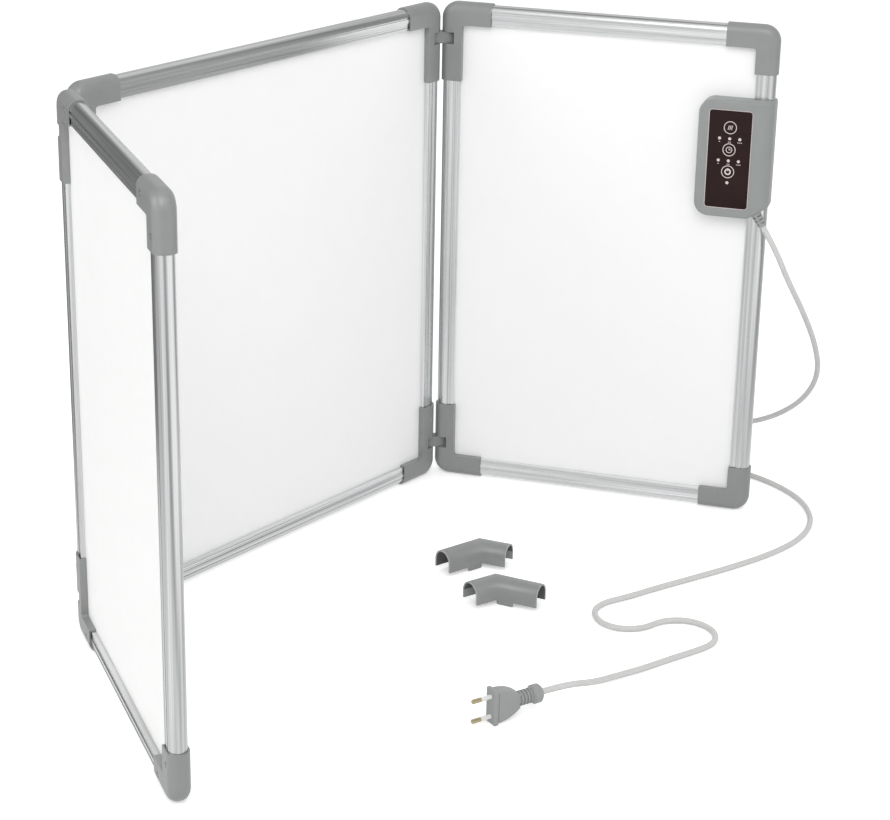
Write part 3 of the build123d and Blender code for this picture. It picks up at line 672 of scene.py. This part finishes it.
@dataclass
class Panels:
    """The three framed panels with their corners, hinges and screws."""

    heater: Heater
    panel_height: float = 500.0 * MM
    across_leg: float = 51.0 * MM
    short_leg: float = 47.0 * MM
    long_leg: float = 78.0 * MM
    screw_from_end: float = 12.0 * MM
    screw_from_edge: float = 10.5 * MM
    rail_surface: float = 8.0 * MM
    head_radius: float = 2.3 * MM
    head_height: float = 1.1 * MM
    head_sides: int = 24
    head_slope: float = 0.5
    head_crown: float = 0.15
    recess_wall: float = 0.05
    recess_depth: float = 0.6
    half_widths: dict[Side, float] = field(
        default_factory=lambda: {Side.LEFT: 167.0 * MM, Side.CENTRE: 242.0 * MM, Side.RIGHT: 167.0 * MM}
    )

    def build(self) -> None:
        """Dresses every node of the panels."""
        shared = {
            "front_sheet": SHEET_WHITE.build(),
            "heating_film": FILM_BLACK.build(),
            "back_sheet": BACK_WHITE.build(),
            "thermal_cutout": CUTOUT_DARK.build(),
            "hinge_pins": PIN_GROUND.build(),
        }
        corner = CORNER_GREY.build()
        for side in Side:
            turn = self.heater.turns[side]
            for name, material in shared.items():
                dress(self.heater.node(f"{side.value}_{name}"), material)
            for place in Corner:
                dress(self.heater.node(f"{side.value}_corner_{place.value}"), corner)
            for run, ends in ((Run.UPRIGHT, ("left", "right")), (Run.LEVEL, ("top", "bottom"))):
                material = rail_finish(side, run, turn).build()
                for end in ends:
                    dress(self.heater.node(f"{side.value}_rail_{end}"), material)
            log.info("panel %s dressed", side.value)
        link = LINK_GREY.build()
        for side in (Side.LEFT, Side.RIGHT):
            for level in ("top", "bottom"):
                dress(self.heater.node(f"{side.value}_link_{level}"), link)
        zinc = SCREW_ZINC.build()
        for side in Side:
            self.corner_screws(side, zinc)

    def corner_screws(self, side: Side, zinc: bpy.types.Material) -> None:
        """The eight small screws in the back of a panel's corners.

        Args:
            side: the panel.
            zinc: the screws' finish.
        """
        half = self.half_widths[side]
        heads = []
        for place in Corner:
            across = 1.0 if place.value.endswith("right") else -1.0
            upwards = 1.0 if place.value.startswith("top") else -1.0
            hinged = side is Side.CENTRE or (side is Side.LEFT) == (across > 0)
            leg = self.long_leg if hinged else self.short_leg
            for from_side, from_end in (
                (self.across_leg - self.screw_from_end, self.screw_from_edge),
                (self.screw_from_edge, leg - self.screw_from_end),
            ):
                level = self.panel_height - from_end if upwards > 0 else from_end
                heads.append(self.screw_head(across * (half - from_side), level))
        screws = settle(join(heads), self.heater.places[side], f"{side.value}_corner_screws")
        dress(screws, zinc)
        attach(screws, f"{side.value}_panel")

    def screw_head(self, x: float, level: float) -> bpy.types.Object:
        """One pan head with its round recess, facing the back.

        Args:
            x: its place across the panel, from the middle.
            level: its height above the floor.

        Returns:
            The head, in the panel's own frame.
        """
        deselect_all()
        bpy.ops.mesh.primitive_cylinder_add(
            vertices=self.head_sides,
            radius=self.head_radius,
            depth=self.head_height,
            location=(x, self.rail_surface + self.head_height / 2, level),
            rotation=(math.radians(-90), 0.0, 0.0),
        )
        head = bpy.context.active_object
        bpy.ops.object.transform_apply(location=False, rotation=True, scale=False)
        edit_picked(head, Picked.FACES, lambda face: face.normal.y > FACING)
        for slope, rise in ((self.head_slope, self.head_crown), (self.recess_wall, -self.recess_depth)):
            bpy.ops.mesh.inset(thickness=slope * self.head_radius, depth=rise * self.head_height)
        bpy.ops.object.mode_set(mode="OBJECT")
        return head


@dataclass
class ControlBox:
    """The touch control box on the right panel's free post, with its printed keys."""

    heater: Heater
    overlay_x: float = 127.0 * MM
    overlay_front: float = -19.7 * MM
    overlay_z: float = 370.5 * MM
    border_width: float = 42.9 * MM
    border_height: float = 97.9 * MM
    border_radius: float = 3.45 * MM
    border_band: float = 0.75 * MM
    border_segments: int = 8
    top_key_z: float = 402.0 * MM
    key_pitch: float = 21.8 * MM
    light_row_below_key: float = 10.9 * MM
    light_pitch: float = 9.8 * MM
    mark_below_light: float = 3.3 * MM
    ring_radius: float = 6.3 * MM
    ring_band: float = 0.7 * MM
    ring_sides: int = 64
    print_thickness: float = 0.06 * MM
    stroke: float = 0.65 * MM
    dash: float = 1.1 * MM
    dash_gap: float = 0.5 * MM
    sign_share: float = 0.5
    long_hand: tuple[float, float] = (0.75 * MM, 1.9 * MM)
    short_hand: tuple[float, float] = (0.7 * MM, 1.8 * MM)
    power_stroke: tuple[float, float] = (2.2 * MM, 2.8 * MM)
    heat_strokes: tuple[float, ...] = (-1.6 * MM, 0.0, 1.6 * MM)
    heat_height: float = 4.4 * MM
    heat_lean_deg: float = 14.0

    def build(self) -> None:
        """Dresses the box's nodes and prints its keys."""
        for name, finish in (
            ("control_housing", BOX_GREY),
            ("control_rear_cover", BOX_GREY),
            ("touch_overlay", OVERLAY_BROWN),
            ("circuit_board", BOARD_GREEN),
            ("indicator_lights", LIGHT_CLEAR),
            ("housing_screws", SCREW_ZINC),
            ("strain_relief", RELIEF_GREY),
        ):
            dress(self.heater.node(name), finish.build())
        border = settle(self.border(), self.heater.places[Side.RIGHT], "overlay_border_print")
        dress(border, BORDER_PALE.build())
        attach(border, "right_panel")
        ink = PRINT_PALE.build()
        for index, symbol in enumerate((Symbol.HEAT, Symbol.CLOCK, Symbol.POWER)):
            level = self.top_key_z - index * self.key_pitch
            parts = [self.ring(level, self.ring_radius, self.ring_band)] + self.symbol(symbol, level)
            if symbol is not Symbol.POWER:
                parts += self.level_marks(level - self.light_row_below_key - self.mark_below_light)
            key = settle(join(parts), self.heater.places[Side.RIGHT], f"key_print_{symbol.value}")
            dress(key, ink)
            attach(key, "right_panel")
            log.info("key %s printed", symbol.value)

    def ring(self, level: float, radius: float, band: float) -> bpy.types.Object:
        """A flat printed ring.

        Args:
            level: its height above the floor.
            radius: its outer radius.
            band: its line width.

        Returns:
            The ring, as a thin solid on the overlay.
        """
        deselect_all()
        bpy.ops.mesh.primitive_cylinder_add(
            vertices=self.ring_sides,
            radius=radius,
            depth=self.print_thickness,
            location=(self.overlay_x, self.overlay_front, level),
            rotation=(math.radians(90), 0.0, 0.0),
        )
        ring = bpy.context.active_object
        bpy.ops.object.transform_apply(location=False, rotation=True, scale=False)
        return self.hollow(ring, band)

    def hollow(self, plate: bpy.types.Object, band: float) -> bpy.types.Object:
        """Cuts the middle out of a flat printed shape, so that its outline is left.

        Args:
            plate: the thin solid, with its two large faces to the front and the back.
            band: the width of the line that stays.

        Returns:
            The same object, with a hole through it.
        """
        edit_picked(plate, Picked.FACES, lambda face: abs(face.normal.y) > FACING)
        bpy.ops.mesh.inset(thickness=band, use_even_offset=True)
        bpy.ops.mesh.bridge_edge_loops()
        bpy.ops.object.mode_set(mode="OBJECT")
        return plate

    def border(self) -> bpy.types.Object:
        """The fine pale line along the overlay's edge.

        Returns:
            The line, as a thin solid on the overlay.
        """
        plate = self.bar(0.0, self.overlay_z, self.border_width, self.border_height)
        depths = [vertex.co.y for vertex in plate.data.vertices]

        def runs_back(edge: bpy.types.MeshEdge) -> bool:
            """Says whether an edge runs through the plate, from its front to its back."""
            first, last = edge.vertices
            return abs(depths[first] - depths[last]) > self.print_thickness / 2

        edit_picked(plate, Picked.EDGES, runs_back)
        bpy.ops.mesh.bevel(offset=self.border_radius, segments=self.border_segments, affect="EDGES")
        bpy.ops.object.mode_set(mode="OBJECT")
        return self.hollow(plate, self.border_band)

    def bar(
        self, x: float, level: float, width: float, height: float, turn_deg: float = 0.0
    ) -> bpy.types.Object:
        """A flat printed stroke, counted from the key column's middle.

        Args:
            x: its middle across the overlay.
            level: its height above the floor.
            width: its width.
            height: its height.
            turn_deg: its turn in the overlay's plane.

        Returns:
            The stroke, as a thin solid on the overlay.
        """
        deselect_all()
        bpy.ops.mesh.primitive_cube_add(size=1.0, location=(self.overlay_x + x, self.overlay_front, level))
        stroke = bpy.context.active_object
        stroke.scale = (width, self.print_thickness, height)
        stroke.rotation_euler = (0.0, math.radians(turn_deg), 0.0)
        bpy.ops.object.transform_apply(location=False, rotation=True, scale=True)
        return stroke

    def level_marks(self, level: float) -> list[bpy.types.Object]:
        """One, two and three small dashes under a row of lights, for its three steps.

        Args:
            level: their height above the floor.

        Returns:
            The dashes.
        """
        pitch = self.dash + self.dash_gap
        marks = []
        for column in (-1, 0, 1):
            count = column + 2
            first = column * self.light_pitch - (count - 1) * pitch / 2
            for step in range(count):
                marks.append(self.bar(first + step * pitch, level, self.dash, self.stroke))
        return marks

    def symbol(self, symbol: Symbol, level: float) -> list[bpy.types.Object]:
        """The sign inside one key.

        Args:
            symbol: which sign.
            level: the key's height above the floor.

        Returns:
            The strokes of the sign.
        """
        inner_radius = self.sign_share * self.ring_radius
        if symbol is Symbol.CLOCK:
            up, long = self.long_hand
            across, short = self.short_hand
            return [
                self.ring(level, inner_radius, self.stroke),
                self.bar(0.0, level + up, self.stroke, long),
                self.bar(across, level, short, self.stroke),
            ]
        if symbol is Symbol.POWER:
            up, height = self.power_stroke
            return [
                self.ring(level, inner_radius, 2 * self.stroke),
                self.bar(0.0, level + up, 1.5 * self.stroke, height),
            ]
        return [
            self.bar(offset, level, self.stroke, self.heat_height, turn_deg=self.heat_lean_deg)
            for offset in self.heat_strokes
        ]


@dataclass
class MainsLead:
    """The pale lead from the control box to the flat two-pin plug."""

    heater: Heater
    diameter: float = 5.6 * MM
    length: float = 1.577
    steps_round: int = 5
    steps_along: int = 10
    relief_tip: tuple[float, float, float] = (364.66, -313.22, 305.72)
    relief_lead: tuple[float, float, float] = (370.5, -326.99, 282.04)
    route: tuple[tuple[float, float, float], ...] = (
        (383, -334, 252), (408, -340, 214), (442, -338, 170), (480, -324, 123), (515, -289, 76),
        (541, -240, 36), (556, -188, 9), (552, -138, 2.9), (526, -99, 2.9), (482, -92, 2.9),
        (448, -122, 2.9), (440, -170, 2.9), (449, -220, 2.9), (453, -265, 2.9), (446, -308, 2.9),
        (427, -348, 2.9), (391, -380, 2.9), (345, -394, 2.9), (292, -390, 2.9), (238, -376, 2.9),
        (192, -361, 2.9), (152, -348, 2.9), (123, -340, 2.9), (99, -330, 2.9), (77, -333, 2.9),
        (62, -352, 2.9), (63, -373, 2.9), (79, -389, 2.9), (102, -392, 2.9), (118, -407, 2.9),
        (122, -425, 2.9), (115, -444, 2.9), (97, -454, 2.9), (77, -451, 2.9), (48, -442, 2.9),
        (16, -434, 2.9), (-14, -426, 4.6), (-46, -424, 10),
    )
    plug_lead: tuple[float, float, float] = (-74.3, -414.72, 16.0)
    plug_rear: tuple[float, float, float] = (-100.87, -405.88, 16.0)

    def build(self) -> None:
        """Builds the lead and dresses the plug."""
        lead = self.lead()
        dress(lead, CORD_PALE.build())
        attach(lead, "right_panel")
        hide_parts("power_cord")
        plug = [self.heater.node(name) for name in ("plug_body", "plug_pins", "pin_sleeves")]
        for node, finish in zip(plug, (PLUG_GREY, PIN_BRASS, SLEEVE_WHITE)):
            dress(node, finish.build())
        self.heater.from_middle(*self.relief_tip)
        log.info("lead laid")

    def lead(self) -> bpy.types.Object:
        """The lead as one smooth tube through its listed route.

        Returns:
            The curve object.
        """
        points = [self.relief_tip, self.relief_lead, *self.route, self.plug_lead, self.plug_rear]
        curve = bpy.data.curves.new("mains_lead", "CURVE")
        curve.dimensions = "3D"
        curve.bevel_depth = self.diameter / 2
        curve.bevel_resolution = self.steps_round
        curve.use_fill_caps = True
        curve.resolution_u = self.steps_along
        curve.render_resolution_u = self.steps_along
        spline = curve.splines.new("NURBS")
        spline.points.add(len(points) - 1)
        for knot, point in zip(spline.points, points):
            knot.co = (*self.heater.from_middle(*point), 1.0)
        spline.order_u = 3
        spline.use_endpoint_u = True
        lead = bpy.data.objects.new("mains_lead", curve)
        bpy.context.scene.collection.objects.link(lead)
        return lead


@dataclass
class AngleClips:
    """The two loose clips that hold a fold at a fixed angle."""

    heater: Heater
    rim: Rim = field(default_factory=Rim)
    painted_shade_index: int = 2
    channel_reach: float = 60.0 * MM
    ray_lift: float = 0.05 * MM
    wall_foot: float = 8.0 * MM
    roof_tilt: float = -0.2

    def build(self) -> None:
        """Puts both clips with softened edges in the place of the sharp ones."""
        finishes = [finish.build() for finish in (CLIP_GREY, CLIP_RIM_PAINTED_HIGHLIGHT, CLIP_INSIDE_PAINTED_SHADE)]
        for name in ("angle_clip_a", "angle_clip_b"):
            clip = self.rim.softened(self.heater.node(name), finishes)
            self.paint_inside_shade(clip)
            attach(clip, "centre_panel")
            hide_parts(name)
            log.info("%s softened and dressed", name)

    def paint_inside_shade(self, clip: bpy.types.Object) -> None:
        """Paints the inside of a clip's channel dark grey, as painted shade where the channel lies in
        shadow.

        Args:
            clip: the finished clip.
        """
        bpy.context.view_layer.update()
        # Faces that look onto another wall of the clip, or down from under its roof, lie in shade and get
        # the painted-shade finish.
        for polygon in clip.data.polygons:
            start = polygon.center + polygon.normal * self.ray_lift
            faces_wall = clip.ray_cast(start, polygon.normal, distance=self.channel_reach)[0]
            under_roof = polygon.normal.z < self.roof_tilt and polygon.center.z > self.wall_foot
            if polygon.material_index != self.rim.index and (faces_wall or under_roof):
                polygon.material_index = self.painted_shade_index


def main() -> None:
    """Builds the heater's looks in order."""
    logging.basicConfig(level=logging.INFO, format="%(name)s: %(message)s")
    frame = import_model()
    heater = Heater(frame)
    Studio(heater).build()
    Panels(heater).build()
    ControlBox(heater).build()
    MainsLead(heater).build()
    AngleClips(heater).build()


if __name__ == "__main__":
    main()
